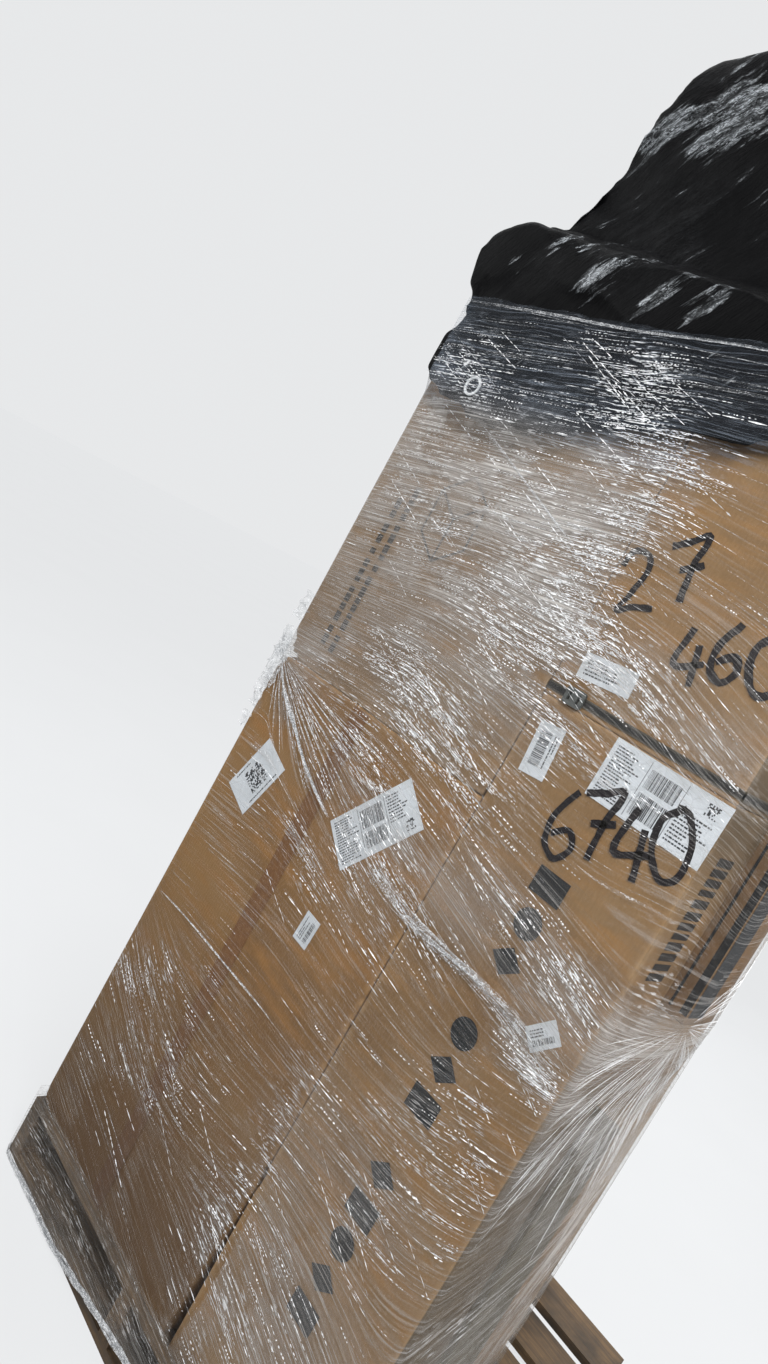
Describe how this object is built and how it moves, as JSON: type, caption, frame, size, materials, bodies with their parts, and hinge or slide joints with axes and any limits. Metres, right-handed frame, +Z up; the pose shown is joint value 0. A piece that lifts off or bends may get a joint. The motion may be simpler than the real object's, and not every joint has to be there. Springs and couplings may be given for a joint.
{
  "type": "shrink wrapped pallet load",
  "caption": "Cartons of several sizes stacked on a wooden pallet and wound with clear stretch film, with a soft black bag on top.",
  "frame": {"origin": "on the floor at the middle of the pallet's underside", "axes": "+Z up, +X to the right along the front of the load, +Y from the front to the back"},
  "size_m": [1.0965, 1.2368, 2.7465],
  "materials": {
    "cardboard": "matt",
    "label_paper": "satin",
    "pallet_wood": "rough sawn, dusty",
    "bag_plastic": "creased, semi-gloss",
    "eyelet_plastic": "satin",
    "strap_plastic": "satin",
    "buckle_plastic": "satin",
    "clear_film": "glossy, wrinkled"
  },
  "bodies": {
    "root": {"bag_eyelet": "eyelet_plastic", "black_bag": "bag_plastic", "bottom_board_1": "pallet_wood", "bottom_board_2": "pallet_wood", "bottom_board_3": "pallet_wood", "bottom_board_4": "pallet_wood", "bottom_board_5": "pallet_wood", "carton_fourth_left_high": "cardboard", "carton_fourth_left_low": "cardboard", "carton_fourth_left_mid": "cardboard", "carton_fourth_right_high": "cardboard", "carton_fourth_right_low": "cardboard", "carton_fourth_right_mid": "cardboard", "carton_front_lower_left": "cardboard", "carton_front_lower_right": "cardboard", "carton_front_upper_left": "cardboard", "carton_front_upper_right": "cardboard", "carton_second_left_lower": "cardboard", "carton_second_left_upper": "cardboard", "carton_second_right_bottom": "cardboard", "carton_second_right_cap": "cardboard", "carton_second_right_middle": "cardboard", "carton_second_right_upper": "cardboard", "carton_third_left_high": "cardboard", "carton_third_left_low": "cardboard", "carton_third_left_mid": "cardboard", "carton_third_right_high": "cardboard", "carton_third_right_low": "cardboard", "carton_third_right_mid": "cardboard", "deck_board_1": "pallet_wood", "deck_board_2": "pallet_wood", "deck_board_3": "pallet_wood", "deck_board_4": "pallet_wood", "deck_board_5": "pallet_wood", "deck_board_6": "pallet_wood", "deck_board_7": "pallet_wood", "label_barcode_right": "label_paper", "label_shipping_left": "label_paper", "label_shipping_right": "label_paper", "label_small_left": "label_paper", "label_small_right": "label_paper", "label_square_left": "label_paper", "label_upper_right": "label_paper", "strap_band": "strap_plastic", "strap_buckle": "buckle_plastic", "stretch_film": "clear_film", "stringer_left": "pallet_wood", "stringer_middle": "pallet_wood", "stringer_right": "pallet_wood"}
  },
  "joints": []
}
